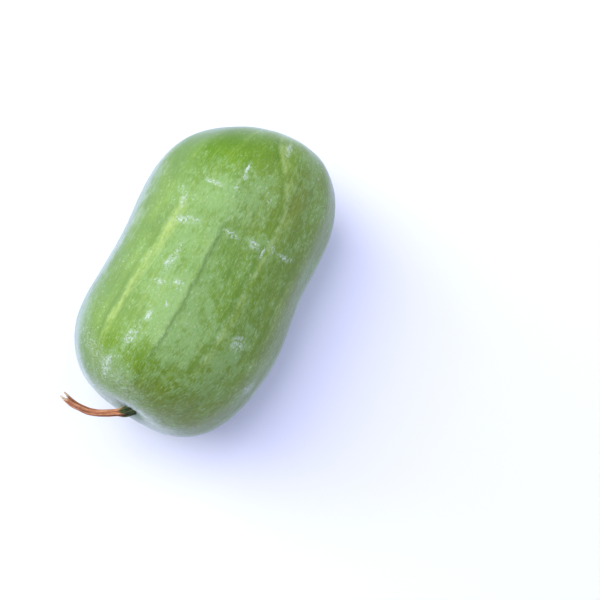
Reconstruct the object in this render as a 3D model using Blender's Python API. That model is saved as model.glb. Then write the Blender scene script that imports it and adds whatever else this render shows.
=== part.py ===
"""A wax gourd as picked, lying on its side: the fruit, its dried stem and the scar of its flower.

Metres, +Z up. The origin is the middle of the flat spot that the fruit rests on. The fruit's long
axis runs along X, with the stem at the -X end and the blossom scar at the +X end.
"""

import math

import bmesh
import bpy
import numpy as np
from mathutils import Vector

# The fruit's outline along X, as half widths at its two bulges and where its rounded ends stop
STEM_END_X = -0.1342
STEM_BULGE_X = -0.0423
STEM_BULGE_RADIUS = 0.0825
BLOSSOM_BULGE_X = 0.0536
BLOSSOM_BULGE_RADIUS = 0.0817
BLOSSOM_END_X = 0.1348
WAIST_DEPTH = 0.0019
STEM_END_BLUNTNESS = 2.62
BLOSSOM_END_BLUNTNESS = 2.22

# The hollow in each end and how far off the fruit's axis it is, and how far the ends lean to -Y and tilt up
STEM_DIMPLE_DEPTH = 0.0047
STEM_DIMPLE_RADIUS = 0.024
STEM_DIMPLE_Y = -0.0063
STEM_DIMPLE_RISE = 0.0120
BLOSSOM_DIMPLE_DEPTH = 0.0032
BLOSSOM_DIMPLE_RADIUS = 0.013
BLOSSOM_DIMPLE_Y = -0.0030
STEM_END_LEAN = 0.069
STEM_END_TILT = 0.10
BLOSSOM_END_LEAN = 0.176

# The sideways place of the fruit's axis, and how far it is bowed in its middle and bent into an S
AXIS_Y = 0.0035
BOW = -0.0035
S_BEND = -0.0032

# The cross-section: sagged under its own weight, with a low ridge along each vein
SAG = 0.975
VEINS = 12
FIRST_VEIN = math.radians(4)
RIDGE_HEIGHT = 0.00050
CARPELS = 3
CARPEL_HEIGHT = 0.0009
CARPEL_TURN = math.radians(8)
FLAT_DEPTH = 0.0012
FRUIT_SIDES = 88
FRUIT_RINGS = 44
END_CROWDING = 0.55

# Slow swells of the surface: height, waves along the length, waves round the girth, phase
SWELLS = (
    (0.0004, 1.47, 2, 0.25),
    (0.0008, 2.52, 3, 1.27),
    (0.0006, 2.27, 1, 0.17),
)

# The stem: a dried, furrowed stalk that flares where it meets the fruit and is torn at its tip
STEM_ROOT_RADIUS = 0.0046
STEM_COLLAR_RADIUS = 0.0041
STEM_RADIUS = 0.0030
FLARE_START = 0.0021
FLARE_END = 0.0080
COLLAR_END = 0.0170
STEM_PIT_DEPTH = 0.0035
STEM_PIT_RADIUS = 0.0014
STEM_RIM_RADIUS = 0.0022
TORN_LENGTH = 0.0032
STEM_SIDES = 30
RING_SPACING = 0.0024

# The furrows of the stem: their number and height as a share of its radius, and how far they wind
STEM_RIBS = 5
RIB_HEIGHT = 0.13
FLATTENING = 0.05
UNEVENNESS = 0.03
STEM_TWIST = math.radians(50)

# The middle line of the stem from its root, measured from the root along X, Y and Z
STEM_LINE = (
    (0.0000, 0.0000, 0.0000),
    (-0.0021, 0.0024, 0.0000),
    (-0.0038, 0.0042, 0.0000),
    (-0.0068, 0.0081, -0.0003),
    (-0.0097, 0.0128, -0.0012),
    (-0.0134, 0.0192, -0.0024),
    (-0.0168, 0.0259, -0.0032),
    (-0.0192, 0.0327, -0.0030),
    (-0.0199, 0.0403, -0.0015),
    (-0.0197, 0.0478, 0.0006),
    (-0.0177, 0.0551, 0.0029),
)

# The corky scar where the flower dried off
SCAR_RADIUS = 0.0042
SCAR_RISE = 0.0016
SCAR_PIT_DEPTH = 0.0009
SCAR_SIDES = 24

# Both pieces sit in a round pocket in the fruit, clear of its wall. The stem's pocket slants to +Y
STEM_SLANT = math.radians(48)
ROOT_SINK = 0.0035
SCAR_SINK = 0.0016
CLEARANCE = 0.0003
POCKET_SIDES = 32

RIND_GREEN = (0.155, 0.275, 0.060, 1)
STEM_BROWN = (0.330, 0.140, 0.060, 1)
SCAR_BROWN = (0.085, 0.035, 0.022, 1)


def smooth(start, end, value):
    """0 at start and 1 at end, with an even slope between them."""
    share = min(1.0, max(0.0, (value - start) / (end - start)))
    return share * share * (3 - 2 * share)


def meridian(steps=120):
    """Points (x, radius) of the plain outline, from the stem's pole to the blossom's."""
    points = []
    for i in range(steps):
        turn = math.pi / 2 * (1 - i / steps)
        power = 2 / STEM_END_BLUNTNESS
        x = STEM_BULGE_X + (STEM_END_X - STEM_BULGE_X) * math.sin(turn) ** power
        points.append((x, STEM_BULGE_RADIUS * math.cos(turn) ** power))
    for i in range(steps):
        share = i / steps
        x = STEM_BULGE_X + (BLOSSOM_BULGE_X - STEM_BULGE_X) * share
        taper = smooth(0, 1, share) * (BLOSSOM_BULGE_RADIUS - STEM_BULGE_RADIUS)
        points.append((x, STEM_BULGE_RADIUS + taper))
    for i in range(steps + 1):
        turn = math.pi / 2 * i / steps
        power = 2 / BLOSSOM_END_BLUNTNESS
        x = BLOSSOM_BULGE_X + (BLOSSOM_END_X - BLOSSOM_BULGE_X) * math.sin(turn) ** power
        points.append((x, BLOSSOM_BULGE_RADIUS * max(0.0, math.cos(turn)) ** power))
    return np.array(points)


def spread(points, count, crowding=0.0):
    """count + 1 places along a line of points, closer together near its ends by crowding."""
    steps = np.linalg.norm(np.diff(points, axis=0), axis=1)
    travelled = np.concatenate([[0], np.cumsum(steps)])
    share = np.linspace(0, 1, count + 1)
    share -= crowding * np.sin(2 * math.pi * share) / (2 * math.pi)
    columns = [np.interp(share * travelled[-1], travelled, column) for column in points.T]
    return np.stack(columns, axis=1)


def axis_height(x):
    """The height of the fruit's own axis: both bulges press into the ground by the same depth."""
    drop = SAG * (STEM_BULGE_RADIUS - BLOSSOM_BULGE_RADIUS) / (BLOSSOM_BULGE_X - STEM_BULGE_X)
    return SAG * STEM_BULGE_RADIUS - drop * (x - STEM_BULGE_X) - FLAT_DEPTH


def skin_point(x, radius, around):
    """The point of the rind at x on the plain outline. around is 0 at the top, and 90 degrees at -Y."""
    fullness = radius / STEM_BULGE_RADIUS
    along = (x - STEM_END_X) / (BLOSSOM_END_X - STEM_END_X)
    between_bulges = min(1.0, max(0.0, (x - STEM_BULGE_X) / (BLOSSOM_BULGE_X - STEM_BULGE_X)))
    relief = RIDGE_HEIGHT * math.cos(VEINS * (around - FIRST_VEIN))
    relief += CARPEL_HEIGHT * math.cos(CARPELS * (around - CARPEL_TURN))
    relief -= WAIST_DEPTH * math.sin(math.pi * between_bulges) ** 2
    for height, lengthwise, girthwise, phase in SWELLS:
        wave = math.sin(2 * math.pi * lengthwise * along + phase)
        relief += height * wave * math.cos(girthwise * around + phase)
    pressed_flat = max(0.0, -math.cos(around)) ** 2
    radius += relief * fullness * (1 - pressed_flat)
    y = -radius * math.sin(around)
    rise = radius * SAG * math.cos(around)
    stem_distance = math.hypot(y - STEM_DIMPLE_Y, rise - STEM_DIMPLE_RISE)
    blossom_distance = math.hypot(y - BLOSSOM_DIMPLE_Y, rise)
    stem_dimple = STEM_DIMPLE_DEPTH * math.exp(-((stem_distance / STEM_DIMPLE_RADIUS) ** 2))
    blossom_dimple = BLOSSOM_DIMPLE_DEPTH * math.exp(-((blossom_distance / BLOSSOM_DIMPLE_RADIUS) ** 2))
    stem_share = smooth(STEM_BULGE_X, STEM_END_X, x)
    blossom_share = smooth(BLOSSOM_BULGE_X, BLOSSOM_END_X, x)
    moved_x = x + stem_share * (stem_dimple + STEM_END_LEAN * y + STEM_END_TILT * rise)
    moved_x -= blossom_share * (blossom_dimple + BLOSSOM_END_LEAN * y)
    bent_y = y + AXIS_Y + BOW * math.sin(math.pi * along) + S_BEND * math.sin(2 * math.pi * along)
    return Vector((moved_x, bent_y, max(0.0, axis_height(x) + rise)))


STEM_FOOT = Vector((
    STEM_END_X + STEM_DIMPLE_DEPTH + STEM_END_LEAN * STEM_DIMPLE_Y + STEM_END_TILT * STEM_DIMPLE_RISE,
    AXIS_Y + STEM_DIMPLE_Y,
    axis_height(STEM_END_X) + STEM_DIMPLE_RISE,
))
SCAR_FOOT = Vector((
    BLOSSOM_END_X - BLOSSOM_DIMPLE_DEPTH - BLOSSOM_END_LEAN * BLOSSOM_DIMPLE_Y,
    AXIS_Y + BLOSSOM_DIMPLE_Y,
    axis_height(BLOSSOM_END_X),
))
STEM_DIRECTION = Vector((-math.cos(STEM_SLANT), math.sin(STEM_SLANT), 0))
SCAR_DIRECTION = Vector((1, 0, 0))


def material(name, colour, roughness):
    made = bpy.data.materials.new(name)
    made.use_nodes = True
    shader = made.node_tree.nodes["Principled BSDF"]
    shader.inputs["Base Color"].default_value = colour
    shader.inputs["Roughness"].default_value = roughness
    shader.inputs["Metallic"].default_value = 0
    return made


def turned(name, profile, place, sides, finish, collection):
    """A closed solid: a sphere whose rings are moved to the profile's, each point by place(row, around)."""
    bm = bmesh.new()
    bmesh.ops.create_uvsphere(bm, u_segments=sides, v_segments=len(profile) - 1, radius=1)
    for vertex in bm.verts:
        ring = round(math.acos(max(-1.0, min(1.0, vertex.co.z))) / math.pi * (len(profile) - 1))
        vertex.co = place(profile[ring], math.atan2(vertex.co.y, vertex.co.x))
    bmesh.ops.recalc_face_normals(bm, faces=bm.faces)
    mesh = bpy.data.meshes.new(name)
    bm.to_mesh(mesh)
    bm.free()
    mesh.shade_smooth()
    mesh.materials.append(finish)
    made = bpy.data.objects.new(name, mesh)
    collection.objects.link(made)
    return made


def build_fruit(collection, pockets):
    """The fruit, one solid from rind to heart, with a pocket for the stem and one for the scar."""
    profile = spread(meridian(), FRUIT_RINGS, END_CROWDING)

    def place(row, around):
        return skin_point(row[0], row[1], around)

    rind = material("rind", RIND_GREEN, 0.45)
    fruit = turned("gourd_fruit", profile, place, FRUIT_SIDES, rind, collection)
    for cutter in pockets:
        cut = fruit.modifiers.new("cut " + cutter.name, "BOOLEAN")
        cut.operation = "DIFFERENCE"
        cut.solver = "EXACT"
        cut.object = cutter
    return fruit


def pocket(name, mouth, outwards, depth, radius, collection):
    """A round cutter that reaches outwards from depth below mouth to well clear of the fruit."""
    length = depth + 0.02
    middle = mouth + outwards * (length / 2 - depth)
    bpy.ops.mesh.primitive_cylinder_add(
        vertices=POCKET_SIDES,
        radius=radius,
        depth=length,
        location=middle,
        rotation=outwards.to_track_quat("Z", "Y").to_euler(),
    )
    made = bpy.context.active_object
    made.name = name
    made.hide_render = True
    made.display_type = "WIRE"
    for holder in list(made.users_collection):
        holder.objects.unlink(made)
    collection.objects.link(made)
    return made


def rounded(corners, steps=24):
    """A smooth line through the corners, as Catmull and Rom draw it."""
    ends = np.vstack([2 * corners[0] - corners[1], corners, 2 * corners[-1] - corners[-2]])
    points = []
    for before, start, end, after in zip(ends, ends[1:], ends[2:], ends[3:]):
        for t in np.arange(steps) / steps:
            straight = 2 * start + (end - before) * t
            curved = (2 * before - 5 * start + 4 * end - after) * t**2
            points.append((straight + curved + (3 * start - before - 3 * end + after) * t**3) / 2)
    points.append(corners[-1])
    return np.array(points)


def stem_profile(length):
    """Rows (distance along the stem, radius), from the middle of its foot to the pit in its torn tip."""
    rows = [(0, 0), (0, STEM_ROOT_RADIUS / 2), (0, STEM_ROOT_RADIUS)]
    rings = round(length / RING_SPACING)
    for ring in range(1, rings + 1):
        distance = length * ring / rings
        flare = 1 - smooth(FLARE_START, FLARE_END, distance)
        collar = 1 - smooth(FLARE_END, COLLAR_END, distance)
        radius = STEM_RADIUS + (STEM_COLLAR_RADIUS - STEM_RADIUS) * collar
        rows.append((distance, radius + (STEM_ROOT_RADIUS - STEM_COLLAR_RADIUS) * flare))
    rows.append((length, STEM_RIM_RADIUS))
    rows.append((length - STEM_PIT_DEPTH, STEM_PIT_RADIUS))
    rows.append((length - STEM_PIT_DEPTH, 0))
    return rows


def build_stem(collection):
    """The dried stem, furrowed along its length, bent along STEM_LINE and torn across at its tip."""
    root = STEM_FOOT - STEM_DIRECTION * (ROOT_SINK - CLEARANCE)
    line = spread(rounded(np.array([root + Vector(step) for step in STEM_LINE])), 200)
    steps = np.linalg.norm(np.diff(line, axis=0), axis=1)
    travelled = np.concatenate([[0], np.cumsum(steps)])
    length = travelled[-1]
    tangents = np.gradient(line, travelled, axis=0)

    def along_line(values, distance):
        return Vector([np.interp(distance, travelled, column) for column in values.T])

    def place(row, around):
        distance, radius = row
        share = distance / length
        furrows = RIB_HEIGHT * math.cos(STEM_RIBS * (around + STEM_TWIST * share))
        furrows += FLATTENING * math.cos(2 * around + 3 * share + 1.3)
        furrows += UNEVENNESS * math.sin(2 * around + 22 * share)
        radius *= 1 + smooth(FLARE_START, COLLAR_END / 2, distance) * furrows
        torn = smooth(0.9, 1.0, share) * TORN_LENGTH * (math.cos(2 * around + 0.6) - 0.35)
        reached = min(length, distance + torn)
        tangent = along_line(tangents, reached).normalized()
        middle = along_line(line, reached) + tangent * (distance + torn - reached)
        upright = (Vector((0, 0, 1)) - tangent * tangent.z).normalized()
        sideways = upright.cross(tangent)
        return middle + (sideways * math.cos(around) + upright * math.sin(around)) * radius

    brown = material("dried stem", STEM_BROWN, 0.7)
    return turned("stem", stem_profile(length), place, STEM_SIDES, brown, collection)


def build_scar(collection):
    """The corky button left by the flower: a ragged disc with a pit in its face."""
    foot = SCAR_FOOT - SCAR_DIRECTION * (SCAR_SINK - CLEARANCE)
    face = SCAR_SINK - CLEARANCE + SCAR_RISE
    profile = [
        (0, 0),
        (0, SCAR_RADIUS * 0.6),
        (0, SCAR_RADIUS),
        (SCAR_SINK * 0.8, SCAR_RADIUS),
        (face * 0.75, SCAR_RADIUS * 0.92),
        (face, SCAR_RADIUS * 0.72),
        (face - SCAR_PIT_DEPTH * 0.4, SCAR_RADIUS * 0.45),
        (face - SCAR_PIT_DEPTH, SCAR_RADIUS * 0.22),
        (face - SCAR_PIT_DEPTH, 0),
    ]

    def place(row, around):
        height, radius = row
        raised = smooth(SCAR_SINK, face, height)
        ragged = 0.12 * math.cos(5 * around + 0.7) + 0.08 * math.cos(3 * around + 2.1)
        radius *= 1 + raised * (ragged - 0.1)
        height += raised * 0.0005 * math.cos(4 * around) * min(1.0, radius / SCAR_RADIUS * 2)
        return foot + Vector((height, radius * math.cos(around), radius * math.sin(around)))

    brown = material("blossom scar", SCAR_BROWN, 0.85)
    return turned("blossom_scar", profile, place, SCAR_SIDES, brown, collection)


def main():
    for old in list(bpy.data.objects):
        bpy.data.objects.remove(old, do_unlink=True)
    gourd = bpy.data.collections.new("wax gourd")
    cutters = bpy.data.collections.new("cutters")
    bpy.context.scene.collection.children.link(gourd)
    bpy.context.scene.collection.children.link(cutters)
    root_bore = STEM_ROOT_RADIUS + CLEARANCE
    scar_bore = SCAR_RADIUS + CLEARANCE
    pockets = (
        pocket("stem pocket", STEM_FOOT, STEM_DIRECTION, ROOT_SINK, root_bore, cutters),
        pocket("scar pocket", SCAR_FOOT, SCAR_DIRECTION, SCAR_SINK, scar_bore, cutters),
    )
    build_fruit(gourd, pockets)
    build_stem(gourd)
    build_scar(gourd)


main()
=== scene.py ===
"""The looks of a wax gourd lying on its side: its rind, dried stem and blossom scar, all in metres, +Z up."""

import math

import bpy
import numpy as np
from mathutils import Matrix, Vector


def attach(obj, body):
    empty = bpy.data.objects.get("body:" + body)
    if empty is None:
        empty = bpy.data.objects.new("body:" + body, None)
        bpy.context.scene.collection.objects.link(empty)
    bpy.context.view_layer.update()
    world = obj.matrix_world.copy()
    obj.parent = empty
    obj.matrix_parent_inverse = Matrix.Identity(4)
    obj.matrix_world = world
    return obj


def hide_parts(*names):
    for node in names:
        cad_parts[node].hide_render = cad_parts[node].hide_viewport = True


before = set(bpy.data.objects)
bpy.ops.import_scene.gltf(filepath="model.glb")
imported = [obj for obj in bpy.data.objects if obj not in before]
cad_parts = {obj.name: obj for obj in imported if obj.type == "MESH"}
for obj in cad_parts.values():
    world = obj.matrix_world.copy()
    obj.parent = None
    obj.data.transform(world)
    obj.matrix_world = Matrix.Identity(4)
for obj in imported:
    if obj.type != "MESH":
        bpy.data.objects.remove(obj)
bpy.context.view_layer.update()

# The camera: its angles round the fruit, its distance, the point at the picture's centre and its lens
CAMERA_AZIMUTH = math.radians(-61.9)
CAMERA_ELEVATION = math.radians(78)
CAMERA_DISTANCE = 0.8
CAMERA_TARGET = Vector((0.01755, -0.07862, 0.08))
PICTURE_SIDE = 600
FOCAL_PIXELS = 954.08
SENSOR_WIDTH = 36

# Soft lights: name, azimuth from +X towards +Y, elevation, distance, side, power, colour
LIGHTS = (
    ("key", 90, 64, 2.6, 2.6, 70.0, (1.0, 0.98, 0.86)),
    ("rim", 90, 20, 2.6, 1.7, 34.0, (0.96, 1.0, 0.98)),
    ("far end", -28, 42, 2.6, 1.9, 17.0, (1.0, 1.0, 0.90)),
    ("fill", -112, 62, 2.6, 2.9, 19.0, (1.0, 0.97, 0.76)),
    ("blue sky", -90, 80, 2.6, 3.4, 34.0, (0.06, 0.12, 1.0)),
)
SKY = (0.135, 0.145, 0.20)
FLOOR_HALF_SIDE = 8
FLOOR_WHITE = (0.84, 0.86, 0.98)

# The fruit's outline along X, as half widths at its two bulges and where its rounded ends stop
STEM_END_X = -0.1342
STEM_BULGE_X = -0.0423
STEM_BULGE_RADIUS = 0.0825
BLOSSOM_BULGE_X = 0.0536
BLOSSOM_BULGE_RADIUS = 0.0817
BLOSSOM_END_X = 0.1348
WAIST_DEPTH = 0.0019
STEM_END_BLUNTNESS = 2.62
BLOSSOM_END_BLUNTNESS = 2.22
SKIN_INSET = 0.0003

# The hollow in each end, and how the ends lean and the whole fruit bends
STEM_DIMPLE_DEPTH = 0.0047
STEM_DIMPLE_RADIUS = 0.024
STEM_DIMPLE_Y = -0.0063
STEM_DIMPLE_RISE = 0.0120
BLOSSOM_DIMPLE_DEPTH = 0.0032
BLOSSOM_DIMPLE_RADIUS = 0.013
BLOSSOM_DIMPLE_Y = -0.0030
STEM_END_LEAN = 0.069
STEM_END_TILT = 0.10
BLOSSOM_END_LEAN = 0.176
AXIS_Y = 0.0035
BOW = -0.0035
S_BEND = -0.0032

# The cross-section, and the slow swells of the surface: height, waves lengthwise, waves girthwise, phase
SAG = 0.975
VEINS = 12
FIRST_VEIN = math.radians(4)
RIDGE_HEIGHT = 0.00050
CARPELS = 3
CARPEL_HEIGHT = 0.0009
CARPEL_TURN = math.radians(8)
FLAT_DEPTH = 0.0012
SWELLS = (
    (0.0004, 1.47, 2, 0.25),
    (0.0008, 2.52, 3, 1.27),
    (0.0006, 2.27, 1, 0.17),
)

# The fine skin: quads between two veins, rings along the fruit, and how both crowd together
SIDES_PER_VEIN = 30
VEIN_CROWDING = 0.5
SKIN_RINGS = 240
END_CROWDING = 0.4
VEIN_HEIGHT = 0.00030
VEIN_WIDTH = 0.0034
DENT_DEPTH = 0.00035
PUCKERS = 22
PUCKER_DEPTH = 0.0006
PUCKER_REACH = 0.016
STEM_PUCKER_RADIUS = 0.009
BLOSSOM_PUCKER_RADIUS = 0.007
BLOSSOM_PUCKER_SHARE = 0.6

# Marks along a vein: how far each is from the vein's middle line, below 0 on its left side, and its width
# Shade marks are painted shade on a vein ridge's right flank, lit marks a painted highlight on its left one
SHADE_OFFSET = 0.0020
SHADE_WIDTH = 0.0014
SHADE_FADE = 0.0045
LIT_OFFSET = -0.0012
LIT_WIDTH = 0.0018
LIT_FADE = 0.0028
STREAK_WIDTH = 0.0028
STREAK_FADE = 0.0060
STRIP_OFFSET = -0.0062
STRIP_WIDTH = 0.0030

# The pale fibres above the stem: their place along X, how it shifts with each degree round, and their reach
FIBRES_X = -0.1165
FIBRES_SLANT = 0.00044
FIBRES_WIDTH = 0.008

# The stem and the scar sit in the hollows
STEM_SLANT = math.radians(48)
ROOT_SINK = 0.0032
SCAR_SINK = 0.0014
STEM_ROOT_RADIUS = 0.0046
STEM_COLLAR_RADIUS = 0.0041
STEM_RADIUS = 0.0030
FLARE_START = 0.0021
FLARE_END = 0.0080
COLLAR_END = 0.0170
STEM_PIT_DEPTH = 0.0035
STEM_PIT_RADIUS = 0.0012
STEM_RIM_RADIUS = 0.0023
TORN_LENGTH = 0.0032
STEM_RIBS = 5
STEM_TWIST = math.radians(50)
STEM_SIDES = 90
STEM_RINGS = 180
STEM_SLIMMING = 0.945
STEM_LINE = (
    (0.0000, 0.0000, 0.0000),
    (-0.0021, 0.0024, 0.0000),
    (-0.0038, 0.0042, 0.0000),
    (-0.0068, 0.0081, -0.0003),
    (-0.0097, 0.0128, -0.0012),
    (-0.0134, 0.0192, -0.0024),
    (-0.0168, 0.0259, -0.0032),
    (-0.0192, 0.0327, -0.0030),
    (-0.0199, 0.0403, -0.0015),
    (-0.0197, 0.0478, 0.0006),
    (-0.0177, 0.0551, 0.0029),
)
SCAR_RADIUS = 0.0042
SCAR_RISE = 0.0016
SCAR_PIT_DEPTH = 0.0009
SCAR_SIDES = 60

# How far each vein wanders from its straight line, in degrees: the swing along it, a steady shift
# and its turn at the blossom end
WANDERS = (
    (0.4, 0.4, -11), (2.2, -0.5, -20), (0.8, -2.5, -13), (1.5, 1.0, -8), (-1.2, 0.5, -6),
    (1.8, -1.0, -8), (-1.5, 1.5, -7), (1.0, 0.0, -9), (-1.8, -1.0, -6), (1.2, 1.2, -8),
    (-1.0, -0.8, -10), (3.4, 0.6, -11),
)

# What marks each vein: its dark line, partly painted shade, its yellow streak and its pale line, partly a
# painted highlight, then where along the fruit they start and end
VEIN_MARKS = (
    (1.00, 0.00, 0.35, 0.15, 0.62), (0.25, 0.75, 0.80, 0.17, 0.99), (0.30, 0.45, 0.40, 0.20, 0.66),
    (0.30, 0.20, 0.20, 0.20, 0.75), (0.05, 0.60, 0.20, 0.30, 0.85), (0.40, 0.10, 0.30, 0.15, 0.60),
    (0.10, 0.30, 0.30, 0.20, 0.80), (0.35, 0.10, 0.20, 0.25, 0.90), (0.10, 0.55, 0.20, 0.20, 0.70),
    (0.50, 0.10, 0.30, 0.15, 0.65), (0.10, 0.25, 0.40, 0.25, 0.85), (0.10, 1.00, 0.25, 0.12, 0.66),
)

# Patches of the rind: place along X, degrees round the fruit, half length, half width, turn in degrees and
# amount. In the first table the wax lies thicker above 0, and is rubbed off below 0; its pale patches on the
# top are partly a painted reflection of the soft light
WAX_AND_REFLECTION_PATCHES = (
    (-0.010, -12, 0.060, 0.018, 0, 0.30), (0.042, -9, 0.024, 0.024, 0, 0.30),
    (-0.045, 0, 0.040, 0.016, 0, 0.28), (-0.055, 12, 0.028, 0.018, 0, 0.30),
    (-0.105, -15, 0.016, 0.020, 30, 0.25), (-0.030, 43, 0.045, 0.012, 0, 0.10),
    (0.092, -5, 0.018, 0.045, 10, -0.55), (0.055, -42, 0.035, 0.014, 0, -0.50),
    (-0.030, -40, 0.060, 0.010, 0, -0.35), (0.000, -53, 0.100, 0.013, 0, -0.45),
    (-0.094, -29, 0.017, 0.006, 0, -0.90), (0.092, -38, 0.018, 0.022, 0, -0.60),
    (0.050, 19, 0.035, 0.018, 0, 0.06), (-0.108, 28, 0.012, 0.040, 0, -0.20),
    (-0.084, 1, 0.010, 0.008, 0, -0.50), (0.000, 66, 0.110, 0.020, 0, -0.30),
    (-0.050, 180, 0.070, 0.060, 0, -0.20), (0.030, 120, 0.050, 0.030, 0, 0.35),
    (-0.082, -30, 0.030, 0.042, 0, -0.42), (0.040, 1, 0.030, 0.014, 0, 0.32),
    (0.000, -13, 0.020, 0.012, 0, 0.25), (-0.088, 8, 0.025, 0.030, 0, 0.34),
    (-0.060, 27, 0.026, 0.028, 0, 0.28), (0.064, 16, 0.020, 0.020, 0, 0.30),
    (-0.060, 100, 0.030, 0.030, 0, 0.20), (-0.020, -130, 0.060, 0.030, 0, 0.30),
)

# Patches where the green is more olive
OLIVE_PATCHES = (
    (0.080, 39, 0.024, 0.014, 0, 0.80), (-0.114, 12, 0.020, 0.075, 0, 0.80),
    (0.056, 22, 0.034, 0.022, 0, 0.50), (-0.072, 26, 0.036, 0.030, 0, 0.45),
)

# Patches where the wax is scraped up white
SCUFFS = (
    (0.0185, -15.5, 0.0030, 0.0120, -18, 1.0), (0.033, -22, 0.0075, 0.0030, -8, 0.8),
    (0.040, -27, 0.0030, 0.0030, 0, 0.7), (-0.012, -11.6, 0.0110, 0.0026, 5, 0.9),
    (0.026, 26, 0.0026, 0.0042, 30, 1.2), (0.024, 32, 0.0050, 0.0018, 0, 1.1),
    (0.031, 37, 0.0022, 0.0030, 0, 0.9), (0.032, 48, 0.0020, 0.0090, -12, 1.0),
    (0.077, 3.8, 0.0042, 0.0017, 0, 1.2), (0.0545, -10, 0.0016, 0.0085, 0, 1.0),
    (0.059, 3, 0.0016, 0.0025, 0, 0.8), (0.069, 5, 0.0018, 0.0020, 0, 0.8),
    (-0.046, 44, 0.0070, 0.0060, 20, 0.9), (-0.019, -14, 0.0020, 0.0020, 0, 0.8),
    (-0.034, -12, 0.0018, 0.0045, 0, 1.0), (-0.048, -2, 0.0020, 0.0020, 0, 0.7),
    (-0.061, -8, 0.0038, 0.0024, 0, 1.0), (-0.080, -11, 0.0080, 0.0040, 10, 0.8),
    (-0.029, -2, 0.0024, 0.0040, 0, 0.8), (0.024, 12, 0.0024, 0.0060, 0, 0.8),
    (0.112, 21, 0.0080, 0.0030, 0, 0.8), (-0.108, -20, 0.0110, 0.0050, 25, 0.8),
    (0.063, 23, 0.0020, 0.0015, 0, 0.9), (0.050, 8, 0.0300, 0.0200, 0, 0.12),
    (-0.045, -8, 0.0400, 0.0160, 0, 0.12), (0.060, 110, 0.0090, 0.0050, 20, 0.9),
    (-0.070, 75, 0.0060, 0.0090, -30, 0.8), (0.010, -80, 0.0140, 0.0030, 10, 0.9),
    (-0.050, -110, 0.0050, 0.0090, 0, 0.9), (0.090, -60, 0.0050, 0.0070, 40, 0.8),
    (0.020, -150, 0.0100, 0.0040, -20, 0.8),
)

# The rind's colours
GREEN = (0.108, 0.246, 0.002)
YELLOWER_GREEN = (0.160, 0.312, 0.009)
# Olive, for real olive patches and as painted shade with reflected light on the -Y flank
OLIVE_AND_FLANK_SHADE = (0.142, 0.205, 0.008)
DEEP_GREEN = (0.088, 0.210, 0.002)
LIGHT_STREAKS = (0.23, 0.36, 0.04)
DARK_STREAKS = (0.080, 0.175, 0.006)
# The wax film, partly a painted reflection of the soft light
WAX_FILM_AND_REFLECTION = (0.232, 0.408, 0.136)
YELLOW_VEIN = (0.37, 0.50, 0.10)
# The pale and dark vein lines are partly a painted highlight and partly painted shade
PALE_VEIN_AND_HIGHLIGHT = (0.31, 0.45, 0.18)
DARK_VEIN_AND_SHADE = (0.055, 0.140, 0.010)
LIGHT_DOTS = (0.34, 0.47, 0.19)
LIGHT_GRAIN = (0.37, 0.50, 0.21)
DARK_GRAIN = (0.07, 0.16, 0.010)
# Bloom, on the end faces partly a painted reflection of the sky
BLOOM_AND_REFLECTION = (0.44, 0.56, 0.53)
PALE_FIBRES = (0.44, 0.55, 0.42)
RUBBED_WAX = (0.42, 0.57, 0.37)
SCRAPED_WAX = (0.66, 0.78, 0.67)
SHEEN_TINT = (0.80, 0.87, 1.0)

# The stem's colours, from its furrows, darkened as painted shade, to its ridges, lightened as a painted
# highlight, and the scar's
STEM_FURROW_AND_SHADE = (0.070, 0.024, 0.012)
STEM_BROWN = (0.48, 0.185, 0.080)
STEM_RIDGE_AND_HIGHLIGHT = (0.86, 0.46, 0.26)
STEM_BLOTCH = (0.20, 0.085, 0.040)
ROOT_SHADE = (0.012, 0.022, 0.006)
ROOT_GREEN = (0.085, 0.125, 0.030)
TORN_SHADE = (0.38, 0.24, 0.12)
TORN_CREAM = (0.80, 0.66, 0.44)
CORK_DARK = (0.060, 0.026, 0.016)
CORK_PALE = (0.26, 0.140, 0.075)
CORK_CRACK = (0.018, 0.010, 0.007)


def smooth(start, end, value):
    """0 at start and beyond it, 1 at end and beyond it, and a smooth slope between them."""
    share = np.clip((value - start) / (end - start), 0, 1)
    return share * share * (3 - 2 * share)


def bell(distance, width):
    return np.exp(-((distance / width) ** 2))


def meridian(steps=400):
    """Points (x, radius) of the plain outline, from the stem's pole to the blossom's."""
    share = np.arange(steps) / steps
    turn = np.pi / 2 * (1 - share)
    power = 2 / STEM_END_BLUNTNESS
    stem_x = STEM_BULGE_X + (STEM_END_X - STEM_BULGE_X) * np.sin(turn) ** power
    stem_radius = STEM_BULGE_RADIUS * np.maximum(0, np.cos(turn)) ** power
    middle_x = STEM_BULGE_X + (BLOSSOM_BULGE_X - STEM_BULGE_X) * share
    middle_radius = STEM_BULGE_RADIUS + smooth(0, 1, share) * (BLOSSOM_BULGE_RADIUS - STEM_BULGE_RADIUS)
    turn = np.pi / 2 * np.arange(steps + 1) / steps
    power = 2 / BLOSSOM_END_BLUNTNESS
    blossom_x = BLOSSOM_BULGE_X + (BLOSSOM_END_X - BLOSSOM_BULGE_X) * np.sin(turn) ** power
    blossom_radius = BLOSSOM_BULGE_RADIUS * np.maximum(0, np.cos(turn)) ** power
    x = np.concatenate([stem_x, middle_x, blossom_x])
    return np.stack([x, np.concatenate([stem_radius, middle_radius, blossom_radius])], axis=1)


def crowded(share, crowding):
    """Shares from 0 to 1, moved closer together near 0 and 1."""
    return share - crowding * np.sin(2 * np.pi * share) / (2 * np.pi)


def travelled(points):
    """How far along a line of points each of them is."""
    return np.concatenate([[0], np.cumsum(np.linalg.norm(np.diff(points, axis=0), axis=1))])


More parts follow.
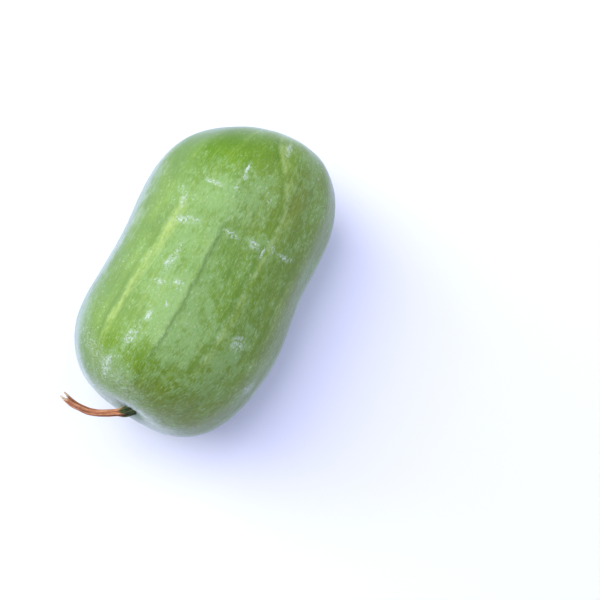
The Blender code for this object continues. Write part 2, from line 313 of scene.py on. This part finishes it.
def spread(points, count, crowding=0.0):
    """count + 1 places along a line of points, closer together near its ends by crowding."""
    far = travelled(points)
    distance = crowded(np.linspace(0, 1, count + 1), crowding) * far[-1]
    return np.stack([np.interp(distance, far, column) for column in points.T], axis=1)


def axis_height(x):
    """The height of the fruit's own axis: both bulges press into the ground by the same depth."""
    drop = SAG * (STEM_BULGE_RADIUS - BLOSSOM_BULGE_RADIUS) / (BLOSSOM_BULGE_X - STEM_BULGE_X)
    return SAG * STEM_BULGE_RADIUS - drop * (x - STEM_BULGE_X) - FLAT_DEPTH


def along_fruit(x):
    return (x - STEM_END_X) / (BLOSSOM_END_X - STEM_END_X)


def skin_points(x, radius, around, hollow):
    """Points of the rind, with hollows sunk into it. around is 0 at the top, and 90 degrees at -Y."""
    fullness = radius / STEM_BULGE_RADIUS
    along = along_fruit(x)
    between_bulges = np.clip((x - STEM_BULGE_X) / (BLOSSOM_BULGE_X - STEM_BULGE_X), 0, 1)
    relief = RIDGE_HEIGHT * np.cos(VEINS * (around - FIRST_VEIN))
    relief = relief + CARPEL_HEIGHT * np.cos(CARPELS * (around - CARPEL_TURN))
    relief = relief - WAIST_DEPTH * np.sin(np.pi * between_bulges) ** 2
    for height, lengthwise, girthwise, phase in SWELLS:
        wave = np.sin(2 * np.pi * lengthwise * along + phase)
        relief = relief + height * wave * np.cos(girthwise * around + phase)
    pressed_flat = np.maximum(0, -np.cos(around)) ** 2
    radius = radius + fullness * ((relief - hollow) * (1 - pressed_flat) - SKIN_INSET)
    y = -radius * np.sin(around)
    rise = radius * SAG * np.cos(around)
    stem_distance = np.hypot(y - STEM_DIMPLE_Y, rise - STEM_DIMPLE_RISE)
    blossom_distance = np.hypot(y - BLOSSOM_DIMPLE_Y, rise)
    stem_dimple = STEM_DIMPLE_DEPTH * bell(stem_distance, STEM_DIMPLE_RADIUS)
    blossom_dimple = BLOSSOM_DIMPLE_DEPTH * bell(blossom_distance, BLOSSOM_DIMPLE_RADIUS)
    pucker = PUCKER_DEPTH * (1 + np.sin(PUCKERS * around + 1.5 * np.sin(3 * around))) / 2
    stem_ring = bell(stem_distance - STEM_PUCKER_RADIUS, PUCKER_REACH / 2)
    blossom_ring = BLOSSOM_PUCKER_SHARE * bell(blossom_distance - BLOSSOM_PUCKER_RADIUS, PUCKER_REACH / 3)
    stem_dimple = stem_dimple + pucker * stem_ring
    blossom_dimple = blossom_dimple + pucker * blossom_ring
    stem_lean = STEM_END_LEAN * y + STEM_END_TILT * rise
    moved_x = x + smooth(STEM_BULGE_X, STEM_END_X, x) * (stem_dimple + stem_lean)
    moved_x = moved_x - smooth(BLOSSOM_BULGE_X, BLOSSOM_END_X, x) * (blossom_dimple + BLOSSOM_END_LEAN * y)
    bent_y = y + AXIS_Y + BOW * np.sin(np.pi * along) + S_BEND * np.sin(2 * np.pi * along)
    return np.stack([moved_x, bent_y, np.maximum(0, axis_height(x) + rise)], axis=-1)


STEM_FOOT = Vector((
    STEM_END_X + STEM_DIMPLE_DEPTH + STEM_END_LEAN * STEM_DIMPLE_Y + STEM_END_TILT * STEM_DIMPLE_RISE,
    AXIS_Y + STEM_DIMPLE_Y,
    axis_height(STEM_END_X) + STEM_DIMPLE_RISE,
))
SCAR_FOOT = Vector((
    BLOSSOM_END_X - BLOSSOM_DIMPLE_DEPTH - BLOSSOM_END_LEAN * BLOSSOM_DIMPLE_Y,
    AXIS_Y + BLOSSOM_DIMPLE_Y,
    axis_height(BLOSSOM_END_X),
))
STEM_DIRECTION = Vector((-math.cos(STEM_SLANT), math.sin(STEM_SLANT), 0))
SCAR_DIRECTION = Vector((1, 0, 0))


def mesh_object(name, points, faces):
    mesh = bpy.data.meshes.new(name)
    mesh.from_pydata(np.asarray(points, float).tolist(), [], faces)
    mesh.validate()
    mesh.shade_smooth()
    made = bpy.data.objects.new(name, mesh)
    bpy.context.scene.collection.objects.link(made)
    return made


def ring_faces(rings, sides):
    """Faces of a closed form: rings of points, then the middle point of its first cap and of its last."""
    first, last = rings * sides, rings * sides + 1
    faces = []
    for side in range(sides):
        after = (side + 1) % sides
        faces.append((first, side, after))
        for here in range(0, (rings - 1) * sides, sides):
            faces.append((here + side, here + sides + side, here + sides + after, here + after))
        here = (rings - 1) * sides
        faces.append((last, here + after, here + side))
    return faces


def keep(made, name, values):
    """Stores a number or a vector for each point of a mesh, for its material to read."""
    kind, field = ("FLOAT_VECTOR", "vector") if np.ndim(values) == 2 else ("FLOAT", "value")
    layer = made.data.attributes.new(name, kind, "POINT")
    layer.data.foreach_set(field, np.ravel(values).astype(np.float32))


def patches(rows, x, around):
    """The sum of soft oval patches, each (along X, degrees round, half length, half width, turn, amount)."""
    total = np.zeros_like(x)
    for middle, degrees, half_length, half_width, turn, amount in rows:
        apart = (around - math.radians(degrees) + np.pi) % (2 * np.pi) - np.pi
        along, across = x - middle, STEM_BULGE_RADIUS * apart
        c, s = math.cos(math.radians(turn)), math.sin(math.radians(turn))
        oval = ((along * c + across * s) / half_length) ** 2 + ((across * c - along * s) / half_width) ** 2
        total += amount * np.exp(-oval)
    return total


def vein_wander(column, along):
    """How far, in radians, each column of the rind's grid wanders from its straight line."""
    vein_numbers = np.arange(VEINS + 1)
    swing, shift, turn = (np.interp(column, vein_numbers, values) for values in zip(*WANDERS, WANDERS[0]))
    straight = column / VEINS * 2 * np.pi
    wander = swing * np.sin(2.2 * np.pi * (along - 0.42)) + shift + turn * smooth(0.72, 0.95, along)
    wander = wander + 0.35 * np.sin(60 * along + 4 * straight) + 0.20 * np.sin(137 * along + 7 * straight)
    return np.radians(wander)


def vein_strengths(column, along):
    """How strong the nearest vein's marks are: its dark line, partly painted shade, its yellow streak and its
    pale line, partly a painted highlight, fading out where they start and end.
    """
    nearest = np.round(column).astype(int) % VEINS
    marks = np.array(VEIN_MARKS)[nearest[0]]
    first, last = marks[:, 3], marks[:, 4]
    fading = smooth(first - 0.03, first + 0.06, along) * (1 - smooth(last - 0.08, last, along))
    return [marks[:, kind] * fading for kind in range(3)]


def fine_hollows(x, around, across, along, dark_line_and_shade):
    """How far the skin sinks: least along a dark vein, and most in its small dents."""
    raised = (0.2 + 0.8 * dark_line_and_shade) * bell(across, VEIN_WIDTH) * smooth(0.02, 0.12, along)
    raised = raised * (1 - smooth(0.88, 0.98, along))
    dents = np.sin(47 * x + 2.1 * np.sin(3 * around)) * np.sin(5 * around + 30 * x + 1.2 * np.sin(80 * x))
    dents = dents + 0.5 * np.sin(11 * around - 90 * x) * np.sin(120 * x + 4 * around)
    return VEIN_HEIGHT * (1 - raised) + DENT_DEPTH * (1.5 + dents) / 3


def bloom_and_reflection_amounts(x, formed_x, fullness, apart):
    """How thick the powdery bloom lies: most on the left flank, less on the right one and on both ends, where
    it is partly a painted reflection of the sky.
    """
    left_side = smooth(-36, -66, apart) * (1 - 0.55 * smooth(-90, -150, apart))
    left_side = np.where(apart < 0, left_side, 0) * smooth(0.12, 0.60, fullness)
    right_side = 0.5 * smooth(95, 150, apart)
    # On both end faces the pale is partly a painted reflection of the sky
    blossom_face = 0.5 * smooth(0.108, 0.131, x)
    stem_face = 0.8 * smooth(STEM_FOOT.x + 0.0060, STEM_FOOT.x - 0.0045, formed_x)
    return np.maximum(np.maximum(left_side, right_side), np.maximum(stem_face, blossom_face))


def build_rind():
    """The rind: the fruit's own shape on a fine grid whose columns run along the veins."""
    profile = spread(meridian(), SKIN_RINGS, END_CROWDING)
    distance = travelled(profile)[1:-1, None]
    shares = crowded(np.arange(SIDES_PER_VEIN) / SIDES_PER_VEIN, VEIN_CROWDING)
    column = (np.arange(VEINS)[:, None] + shares).ravel()[None, :]
    x = profile[1:-1, :1] + 0 * column
    radius = profile[1:-1, 1:] + 0 * column
    fullness = radius / STEM_BULGE_RADIUS
    along = along_fruit(x)
    around = FIRST_VEIN + column / VEINS * 2 * np.pi + vein_wander(column, along)
    from_vein = (column + 0.5) % 1 - 0.5
    across = from_vein / VEINS * 2 * np.pi * radius
    dark_line_and_shade, yellow, pale_line_and_highlight = vein_strengths(column, along)
    hollow = fine_hollows(x, around, across, along, dark_line_and_shade)
    points = skin_points(x, radius, around, hollow).reshape(-1, 3)
    pole = np.zeros(1)
    caps = [skin_points(profile[end, :1], pole, pole, pole) for end in (0, -1)]
    made = mesh_object("gourd_rind", np.vstack([points] + caps), ring_faces(*x.shape))

    def keep_grid(name, values):
        values = values + 0 * x
        keep(made, name, np.concatenate([values.ravel(), [values[0].mean(), values[-1].mean()]]))

    unrolled = [distance + 0 * x, STEM_BULGE_RADIUS * np.cos(around), STEM_BULGE_RADIUS * np.sin(around)]
    ends = [[distance[0, 0], 0, 0], [distance[-1, 0], 0, 0]]
    keep(made, "unrolled", np.vstack([np.stack([part.ravel() for part in unrolled], axis=1), ends]))
    formed_x = points[:, 0].reshape(x.shape)
    apart = (np.degrees(around) + 180) % 360 - 180

    # Wax, partly a painted reflection, scuffs, and olive patches with painted shade and olive reflected light
    # on the -Y flank
    keep_grid("wax_and_reflection", patches(WAX_AND_REFLECTION_PATCHES, formed_x, around))
    keep_grid("scuffs", patches(SCUFFS, formed_x, around))
    keep_grid("olive patches and painted flank shade", bell(apart - 85, 48) + patches(OLIVE_PATCHES, formed_x, around))

    # The lines along each vein: the dark one is partly painted shade and the pale one partly a painted
    # highlight
    beside = across - SHADE_OFFSET
    shaded = np.maximum(bell(beside, SHADE_WIDTH), np.where(beside < 0, 0, 0.35 * bell(beside, SHADE_FADE)))
    beside = across - LIT_OFFSET
    lit = bell(beside, np.where(beside < 0, LIT_FADE, LIT_WIDTH))
    spreading = 0.6 + 0.7 * smooth(0.25, 0.60, along)
    streak = bell(across, np.where(across < 0, STREAK_WIDTH, STREAK_FADE) * spreading)
    keep_grid("dark vein and painted shade", dark_line_and_shade * shaded)
    keep_grid("yellow vein", yellow * streak)
    keep_grid("pale vein and painted highlight", np.maximum(pale_line_and_highlight, 0.6 * dark_line_and_shade) * lit)

    # Where the green is deep: left of the top, at the blossom end and in a strip beside each yellow streak
    deep = bell(apart + 52, 12) + smooth(0.070, 0.100, formed_x) * bell(apart + 32, 38)
    deep = deep + 0.85 * yellow * bell(across - STRIP_OFFSET, STRIP_WIDTH)
    keep_grid("deep green", np.minimum(deep, 1) * smooth(0.25, 0.70, fullness))

    # Bloom, partly a painted reflection on the end faces, and the pale fibres above and around the stem
    keep_grid("bloom_and_reflection", bloom_and_reflection_amounts(x, formed_x, fullness, apart))
    fibrous = bell(formed_x - FIBRES_X + FIBRES_SLANT * apart, FIBRES_WIDTH)
    fibrous = fibrous * smooth(-60, -40, apart) * smooth(36, 12, apart)
    keep_grid("stem end", np.maximum(fibrous, bell(formed_x - STEM_FOOT.x, 0.006)))
    return made


def rounded(corners, steps=24):
    """A smooth line through the corners. At each one it runs as the line between the two beside it does."""
    ends = np.vstack([2 * corners[0] - corners[1], corners, 2 * corners[-1] - corners[-2]])
    t = (np.arange(steps) / steps)[:, None]
    points = []
    for before, start, end, after in zip(ends, ends[1:], ends[2:], ends[3:]):
        curved = (2 * before - 5 * start + 4 * end - after) * t**2
        cubed = (3 * start - before - 3 * end + after) * t**3
        points.append((2 * start + (end - before) * t + curved + cubed) / 2)
    return np.vstack(points + [corners[-1:]])


def build_stem():
    """The dried stem: a twisted bundle of ribs with deep furrows, flared at its root, torn at its tip."""
    root = STEM_FOOT - STEM_DIRECTION * ROOT_SINK
    line = spread(rounded(np.array([root + Vector(step) for step in STEM_LINE])), 400)
    far = travelled(line)
    length = far[-1]
    tangents = np.gradient(line, far, axis=0)
    distance = np.linspace(0, length, STEM_RINGS + 1)
    plain = STEM_RADIUS + (STEM_COLLAR_RADIUS - STEM_RADIUS) * (1 - smooth(FLARE_END, COLLAR_END, distance))
    plain = plain + (STEM_ROOT_RADIUS - STEM_COLLAR_RADIUS) * (1 - smooth(FLARE_START, FLARE_END, distance))
    pit = length - STEM_PIT_DEPTH * np.array([0.05, 0.0, 0.1, 0.3, 0.6, 1.0])
    rim_radii = np.array([1.15, 1.0]) * STEM_RIM_RADIUS
    pit_radii = np.array([1.5, 1.2, 1.0]) * STEM_PIT_RADIUS
    distance = np.concatenate([distance[:-1], pit])[:, None]
    plain = np.concatenate([plain[:-1], [STEM_RADIUS], rim_radii, pit_radii])[:, None]
    around = (np.arange(STEM_SIDES) / STEM_SIDES * 2 * np.pi)[None, :]

    share = distance / length
    turned = around + STEM_TWIST * share
    ribs = 0.13 * np.cos(STEM_RIBS * turned) + 0.05 * np.cos(2 * around + 3 * share + 1.3)
    ribs = ribs + 0.03 * np.sin(2 * around + 22 * share)
    fine = 0.045 * np.cos(13 * turned + 2.0 * np.sin(7 * share) + 0.5)
    fine = fine + 0.025 * np.cos(29 * turned + 3.0 * np.sin(11 * share))
    furrow = bell(np.sin(STEM_RIBS * turned / 2), 0.22)
    furrow = furrow * (0.6 + 0.4 * np.sin(9 * share + 2 * np.round(STEM_RIBS * turned / (2 * np.pi))))
    formed = smooth(FLARE_START, COLLAR_END / 2, distance)
    radius = STEM_SLIMMING * plain * (1 + formed * (ribs + fine - 0.10 * furrow))
    torn = TORN_LENGTH * (np.cos(2 * around + 0.6) - 0.35)
    torn = torn + 0.0009 * np.cos(7 * around + 1) + 0.0005 * np.cos(19 * around)
    torn = smooth(0.9, 1.0, share) * torn
    reached = np.minimum(length, distance + torn)
    middle = np.stack([np.interp(reached, far, column) for column in line.T], axis=-1)
    tangent = np.stack([np.interp(reached, far, column) for column in tangents.T], axis=-1)
    tangent /= np.linalg.norm(tangent, axis=-1, keepdims=True)
    middle = middle + tangent * (distance + torn - reached)[..., None]
    upright = np.array([0, 0, 1]) - tangent * tangent[..., 2:]
    upright /= np.linalg.norm(upright, axis=-1, keepdims=True)
    sideways = np.cross(upright, tangent)
    outwards = sideways * np.cos(around)[..., None] + upright * np.sin(around)[..., None]
    points = middle + outwards * radius[..., None]
    caps = [points[0].mean(axis=0), points[-1].mean(axis=0)]
    made = mesh_object("dried_stem", np.vstack([points.reshape(-1, 3), caps]), ring_faces(*radius.shape))

    inside = np.zeros_like(radius)
    inside[-len(rim_radii) - len(pit_radii):] = 1

    def keep_grid(name, values, last):
        values = values + 0 * radius
        keep(made, name, np.concatenate([values.ravel(), [values[0].mean(), last]]))

    unrolled = [distance + 0 * radius, 0.003 * np.cos(turned), 0.003 * np.sin(turned)]
    ends = [[0, 0, 0], [length, 0, 0]]
    keep(made, "unrolled", np.vstack([np.stack([part.ravel() for part in unrolled], axis=1), ends]))
    keep_grid("ridge", ribs / 0.18 + fine / 0.10 - 1.2 * furrow, 0)
    keep_grid("green root", 1 - smooth(0.0085, 0.0135, distance - 0.0022 * np.cos(3 * around + 1)), 0)
    keep_grid("torn", np.maximum(inside, smooth(length - 0.0035, length - 0.0010, distance + torn)), 1)
    return made


def build_scar():
    """The corky button left by the flower: a ragged, cracked disc with a pit in its face."""
    face = SCAR_SINK + SCAR_RISE
    rows = np.array([
        (0.0000, 1.00),
        (SCAR_SINK, 1.00),
        (SCAR_SINK + 0.5 * SCAR_RISE, 0.97),
        (face * 0.92, 0.90),
        (face, 0.78),
        (face * 0.97, 0.66),
        (face - SCAR_PIT_DEPTH * 0.3, 0.54),
        (face - SCAR_PIT_DEPTH * 0.5, 0.42),
        (face - SCAR_PIT_DEPTH * 0.8, 0.30),
        (face - SCAR_PIT_DEPTH, 0.16),
    ])
    height, share = rows[:, :1], rows[:, 1:]
    around = (np.arange(SCAR_SIDES) / SCAR_SIDES * 2 * np.pi)[None, :]
    raised = smooth(SCAR_SINK, face, height)
    ragged = 0.10 * np.cos(5 * around + 0.7) + 0.07 * np.cos(3 * around + 2.1) + 0.035 * np.cos(13 * around)
    radius = SCAR_RADIUS * share * (1 + (0.3 + 0.7 * raised) * (ragged - 0.12))
    cracks = bell(np.sin(3.5 * around + 0.6 * np.sin(2 * around)), 0.25) * smooth(0.1, 0.5, share)
    height = height + raised * (0.0003 * np.cos(4 * around) * share - 0.0005 * cracks - 0.0002)
    points = np.stack([height + 0 * radius, radius * np.cos(around), radius * np.sin(around)], axis=-1)
    points = points + np.array(SCAR_FOOT - SCAR_DIRECTION * SCAR_SINK)
    caps = [points[0].mean(axis=0), points[-1].mean(axis=0)]
    corners = np.vstack([points.reshape(-1, 3), caps])
    made = mesh_object("blossom_end_scar", corners, ring_faces(*radius.shape))
    keep(made, "crack", np.concatenate([(cracks + 0 * radius).ravel(), [0, 0.6]]))
    return made


class Shader:
    """A material's node tree. Most of its methods add a node and give its output, for the next to read."""

    def __init__(self, name):
        self.material = bpy.data.materials.new(name)
        self.material.use_nodes = True
        self.tree = self.material.node_tree
        self.surface = self.tree.nodes["Principled BSDF"]

    def feed(self, socket, value):
        if isinstance(value, bpy.types.NodeSocket):
            self.tree.links.new(value, socket)
        elif isinstance(value, tuple) and socket.type == "RGBA":
            socket.default_value = (*value, 1)
        else:
            socket.default_value = value

    def node(self, kind, inputs, output=0, **settings):
        made = self.tree.nodes.new(kind)
        for name, value in settings.items():
            setattr(made, name, value)
        for place, value in inputs.items():
            self.feed(made.inputs[place], value)
        return made.outputs[output]

    def stored(self, name, output="Fac"):
        return self.node("ShaderNodeAttribute", {}, output, attribute_name=name)

    def sum(self, first, second):
        return self.node("ShaderNodeMath", {0: first, 1: second}, operation="ADD")

    def times(self, first, second):
        return self.node("ShaderNodeMath", {0: first, 1: second}, operation="MULTIPLY")

    def stretched(self, vector, scale):
        return self.node("ShaderNodeVectorMath", {0: vector, 1: scale}, operation="MULTIPLY")

    def noise(self, vector, scale, detail=3.0, roughness=0.55):
        inputs = {"Vector": vector, "Scale": scale, "Detail": detail, "Roughness": roughness}
        return self.node("ShaderNodeTexNoise", inputs)

    def cells(self, vector, scale, output="Distance"):
        return self.node("ShaderNodeTexVoronoi", {"Vector": vector, "Scale": scale}, output)

    def ramp(self, value, low, high, start=0.0, end=1.0):
        """start at low and beyond it, end at high and beyond it, and a smooth slope between them."""
        inputs = {"Value": value, "From Min": low, "From Max": high, "To Min": start, "To Max": end}
        return self.node("ShaderNodeMapRange", inputs, interpolation_type="SMOOTHSTEP")

    def mixed(self, share, first, second):
        """A mix of two colours. Its colour inputs are numbers 6 and 7, and its colour output is number 2."""
        inputs = {0: share, 6: first, 7: second}
        return self.node("ShaderNodeMix", inputs, 2, data_type="RGBA", clamp_factor=True)

    def finish(self, colour, roughness, bump, depth, **constants):
        """Joins the colour, the roughness and the bump to the surface, and sets its constants."""
        self.feed(self.surface.inputs["Base Color"], colour)
        self.feed(self.surface.inputs["Roughness"], roughness)
        normal = self.node("ShaderNodeBump", {"Height": bump, "Distance": depth, "Strength": 1.0})
        self.feed(self.surface.inputs["Normal"], normal)
        for name, value in constants.items():
            self.feed(self.surface.inputs[name.replace("_", " ")], value)
        return self.material


def rind_material():
    """Green rind under a film of wax, partly a painted reflection: rubbed places, streaks along the fruit,
    veins with painted shade and highlight, specks and scuffs.
    """
    s = Shader("waxy rind")
    here = s.node("ShaderNodeTexCoord", {}, "Object")
    unrolled = s.stored("unrolled", "Vector")
    lengthwise = s.stretched(unrolled, (0.28, 1, 1))
    long_streaks = s.stretched(unrolled, (0.07, 1, 1))

    clouds = s.noise(here, 28, 3)
    blotches = s.noise(here, 90, 5, 0.65)
    mottle = s.noise(s.stretched(unrolled, (0.6, 1, 1)), 300, 4, 0.7)
    streaks = s.noise(long_streaks, 260, 3, 0.6)
    grain = s.noise(lengthwise, 900, 3, 0.7)
    dots = s.cells(lengthwise, 520)

    # The skin itself, with fine streaks along it
    green = s.mixed(s.ramp(clouds, 0.35, 0.65), GREEN, YELLOWER_GREEN)
    # Olive patches, and over the -Y flank olive as painted shade and reflected light
    green = s.mixed(s.times(s.stored("olive patches and painted flank shade"), 0.80), green, OLIVE_AND_FLANK_SHADE)
    green = s.mixed(s.times(s.stored("deep green"), 0.80), green, DEEP_GREEN)
    green = s.mixed(s.ramp(streaks, 0.50, 0.72, 0, 0.45), green, LIGHT_STREAKS)
    green = s.mixed(s.ramp(streaks, 0.48, 0.28, 0, 0.45), green, DARK_STREAKS)

    # The film of wax, uneven at every scale, and on the top partly a painted reflection of the soft light
    wax_and_reflection = s.sum(0.36, s.sum(s.stored("wax_and_reflection"), s.times(s.stored("deep green"), -0.62)))
    wax_and_reflection = s.sum(wax_and_reflection, s.ramp(clouds, 0.3, 0.7, -0.26, 0.26))
    wax_and_reflection = s.sum(wax_and_reflection, s.ramp(blotches, 0.30, 0.70, -0.38, 0.38))
    wax_and_reflection = s.sum(wax_and_reflection, s.ramp(mottle, 0.28, 0.72, -0.42, 0.42))
    wax_and_reflection = s.sum(wax_and_reflection, s.ramp(grain, 0.28, 0.72, -0.22, 0.22))
    wax_and_reflection = s.ramp(wax_and_reflection, 0.0, 1.0)
    colour = s.mixed(s.times(wax_and_reflection, 0.66), green, WAX_FILM_AND_REFLECTION)

    # The lines along the veins, the dark one partly painted shade and the pale one partly a painted highlight
    patchy = s.ramp(blotches, 0.38, 0.60, 0.15, 1.0)
    yellow = s.times(s.stored("yellow vein"), s.ramp(streaks, 0.35, 0.58, 0.15, 1.0))
    colour = s.mixed(s.times(s.times(yellow, patchy), 0.85), colour, YELLOW_VEIN)
    pale_line_and_highlight = s.times(s.stored("pale vein and painted highlight"), patchy)
    colour = s.mixed(s.times(pale_line_and_highlight, 0.42), colour, PALE_VEIN_AND_HIGHLIGHT)
    dark_line_and_shade = s.times(s.stored("dark vein and painted shade"), s.ramp(grain, 0.30, 0.50, 0.6, 1.0))
    colour = s.mixed(s.times(dark_line_and_shade, 0.60), colour, DARK_VEIN_AND_SHADE)

    # Dots and grain, fewer light ones where the green is deep
    dusted = s.ramp(s.stored("deep green"), 0.0, 1.0, 1.0, 0.25)
    stipple = s.times(s.ramp(dots, 0.30, 0.08), s.ramp(blotches, 0.35, 0.65, 0.15, 0.75))
    stipple = s.times(stipple, dusted)
    colour = s.mixed(stipple, colour, LIGHT_DOTS)
    colour = s.mixed(s.times(s.ramp(grain, 0.52, 0.78, 0, 0.58), dusted), colour, LIGHT_GRAIN)
    colour = s.mixed(s.ramp(grain, 0.48, 0.22, 0, 0.58), colour, DARK_GRAIN)

    # Bloom with a ragged edge, partly a painted reflection on the end faces, and the fibres round the stem
    ragged_bloom_and_reflection = s.sum(s.stored("bloom_and_reflection"), s.ramp(blotches, 0.32, 0.68, -0.42, 0.42))
    ragged_bloom_and_reflection = s.sum(ragged_bloom_and_reflection, s.ramp(clouds, 0.30, 0.70, -0.30, 0.30))
    ragged_bloom_and_reflection = s.sum(ragged_bloom_and_reflection, s.ramp(mottle, 0.28, 0.72, -0.32, 0.32))
    bloom_and_reflection = s.times(s.stored("bloom_and_reflection"), s.ramp(ragged_bloom_and_reflection, 0.0, 1.2, 0.10, 1.0))
    colour = s.mixed(s.times(bloom_and_reflection, 0.52), colour, BLOOM_AND_REFLECTION)
    fibres = s.ramp(s.noise(s.stretched(here, (1.5, 0.45, 0.45)), 700, 4, 0.75), 0.44, 0.62)
    fibres = s.times(fibres, s.stored("stem end"))
    colour = s.mixed(s.times(fibres, 0.62), colour, PALE_FIBRES)

    # Scuffs and white specks
    crumbs = s.noise(here, 820, 4, 0.75)
    scuffs = s.times(s.stored("scuffs"), s.ramp(s.noise(here, 430, 2, 0.5), 0.38, 0.58, 0.20, 1.45))
    scraped = s.ramp(s.sum(scuffs, s.ramp(crumbs, 0.42, 0.64, -1.0, 0.0)), 0.02, 0.70)
    rubbed = s.times(s.ramp(scuffs, 0.0, 0.8), s.ramp(crumbs, 0.30, 0.60, 0.45, 1.0))
    colour = s.mixed(s.times(rubbed, 0.62), colour, RUBBED_WAX)
    flecks = s.times(s.ramp(s.cells(here, 210), 0.24, 0.12), s.ramp(blotches, 0.46, 0.60))
    specks = s.ramp(s.noise(here, 480, 3, 0.65), 0.62, 0.72)
    specks = s.times(s.sum(specks, s.times(flecks, 0.6)), s.ramp(clouds, 0.40, 0.60, 0.15, 1.0))
    white = s.node("ShaderNodeMath", {0: scraped, 1: s.times(specks, 0.7)}, operation="MAXIMUM")
    colour = s.mixed(s.times(white, 0.68), colour, SCRAPED_WAX)

    # Duller where the wax is thick
    roughness = s.sum(s.ramp(wax_and_reflection, 0.0, 1.0, 0.42, 0.60), s.ramp(grain, 0.3, 0.7, -0.06, 0.06))
    roughness = s.sum(roughness, s.times(white, 0.12))
    bump = s.sum(s.times(grain, 0.6), s.times(stipple, 0.25))
    bump = s.sum(bump, s.sum(s.times(blotches, 0.8), s.times(mottle, 0.6)))
    bump = s.sum(bump, s.times(white, 0.35))
    return s.finish(
        colour, roughness, bump, 0.00040,
        Sheen_Weight=0.95, Sheen_Roughness=0.26, Sheen_Tint=SHEEN_TINT, Specular_IOR_Level=0.5,
    )


def stem_material():
    """Dry, fibrous brown, painted pale on its ridges as a highlight and near-black in its furrows as shade,
    with a green root and a cream torn tip.
    """
    s = Shader("dried stem fibres")
    unrolled = s.stored("unrolled", "Vector")
    fibres = s.noise(s.stretched(unrolled, (0.12, 1, 1)), 2600, 4, 0.65)
    blotches = s.noise(s.stretched(unrolled, (0.5, 1, 1)), 420, 3)
    ridge = s.sum(s.stored("ridge"), s.ramp(fibres, 0.3, 0.7, -0.7, 0.7))
    # Painted shade in the furrows and a painted highlight on the ridges, by the height of the ribs
    colour = s.mixed(s.ramp(ridge, -1.5, 0.1), STEM_FURROW_AND_SHADE, STEM_BROWN)
    colour = s.mixed(s.ramp(ridge, 0.3, 1.7), colour, STEM_RIDGE_AND_HIGHLIGHT)
    colour = s.mixed(s.ramp(blotches, 0.52, 0.72, 0, 0.6), colour, STEM_BLOTCH)
    green = s.mixed(s.ramp(ridge, -1.0, 1.2), ROOT_SHADE, ROOT_GREEN)
    colour = s.mixed(s.stored("green root"), colour, green)
    cream = s.mixed(s.ramp(fibres, 0.35, 0.6), TORN_SHADE, TORN_CREAM)
    colour = s.mixed(s.stored("torn"), colour, cream)
    roughness = s.ramp(ridge, -1.0, 1.5, 0.85, 0.58)
    return s.finish(colour, roughness, s.sum(fibres, s.times(blotches, 0.5)), 0.0003, Specular_IOR_Level=0.4)


def scar_material():
    """Dark, corky brown with paler crumbs, and almost black in its cracks."""
    s = Shader("corky scar")
    here = s.node("ShaderNodeTexCoord", {}, "Object")
    crumbs = s.noise(here, 1500, 4, 0.7)
    colour = s.mixed(s.ramp(crumbs, 0.35, 0.65), CORK_DARK, CORK_PALE)
    colour = s.mixed(s.stored("crack"), colour, CORK_CRACK)
    roughness = s.ramp(crumbs, 0.3, 0.7, 0.95, 0.75)
    return s.finish(colour, roughness, crumbs, 0.0004, Specular_IOR_Level=0.3)


def floor_material():
    s = Shader("white floor")
    mottled = s.noise(s.node("ShaderNodeTexCoord", {}, "Object"), 60, 3)
    roughness = s.ramp(mottled, 0.3, 0.7, 0.80, 0.95)
    return s.finish(FLOOR_WHITE, roughness, mottled, 0.0001, Specular_IOR_Level=0.1)


def build_camera():
    a, e = CAMERA_AZIMUTH, CAMERA_ELEVATION
    back = Vector((math.sin(a) * math.cos(e), -math.cos(a) * math.cos(e), math.sin(e)))
    data = bpy.data.cameras.new("camera")
    data.sensor_width = SENSOR_WIDTH
    data.lens = SENSOR_WIDTH * FOCAL_PIXELS / PICTURE_SIDE
    camera = bpy.data.objects.new("camera", data)
    camera.location = CAMERA_TARGET + back * CAMERA_DISTANCE
    camera.rotation_euler = back.to_track_quat("Z", "Y").to_euler()
    bpy.context.scene.collection.objects.link(camera)
    bpy.context.scene.camera = camera


def build_light(name, azimuth, elevation, distance, side, power, colour):
    """A soft square light that faces the fruit."""
    a, e = math.radians(azimuth), math.radians(elevation)
    outwards = Vector((math.cos(a) * math.cos(e), math.sin(a) * math.cos(e), math.sin(e)))
    data = bpy.data.lights.new(name, "AREA")
    data.size = side
    data.energy = power
    data.color = colour
    made = bpy.data.objects.new(name, data)
    made.location = Vector((0, 0, axis_height(0))) + outwards * distance
    made.rotation_euler = outwards.to_track_quat("Z", "Y").to_euler()
    bpy.context.scene.collection.objects.link(made)


def build_studio():
    for light in LIGHTS:
        build_light(*light)
    world = bpy.data.worlds.new("studio")
    world.use_nodes = True
    world.node_tree.nodes["Background"].inputs["Color"].default_value = (*SKY, 1)
    bpy.context.scene.world = world
    h = FLOOR_HALF_SIDE
    floor = mesh_object("floor", [(-h, -h, 0), (h, -h, 0), (h, h, 0), (-h, h, 0)], [(0, 1, 2, 3)])
    floor.data.materials.append(floor_material())
    bpy.context.scene.view_settings.view_transform = "Standard"


def dress(piece, material, node):
    piece.data.materials.append(material)
    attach(piece, "root")
    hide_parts(node)


build_camera()
build_studio()
dress(build_rind(), rind_material(), "gourd_fruit")
dress(build_stem(), stem_material(), "stem")
dress(build_scar(), scar_material(), "blossom_scar")
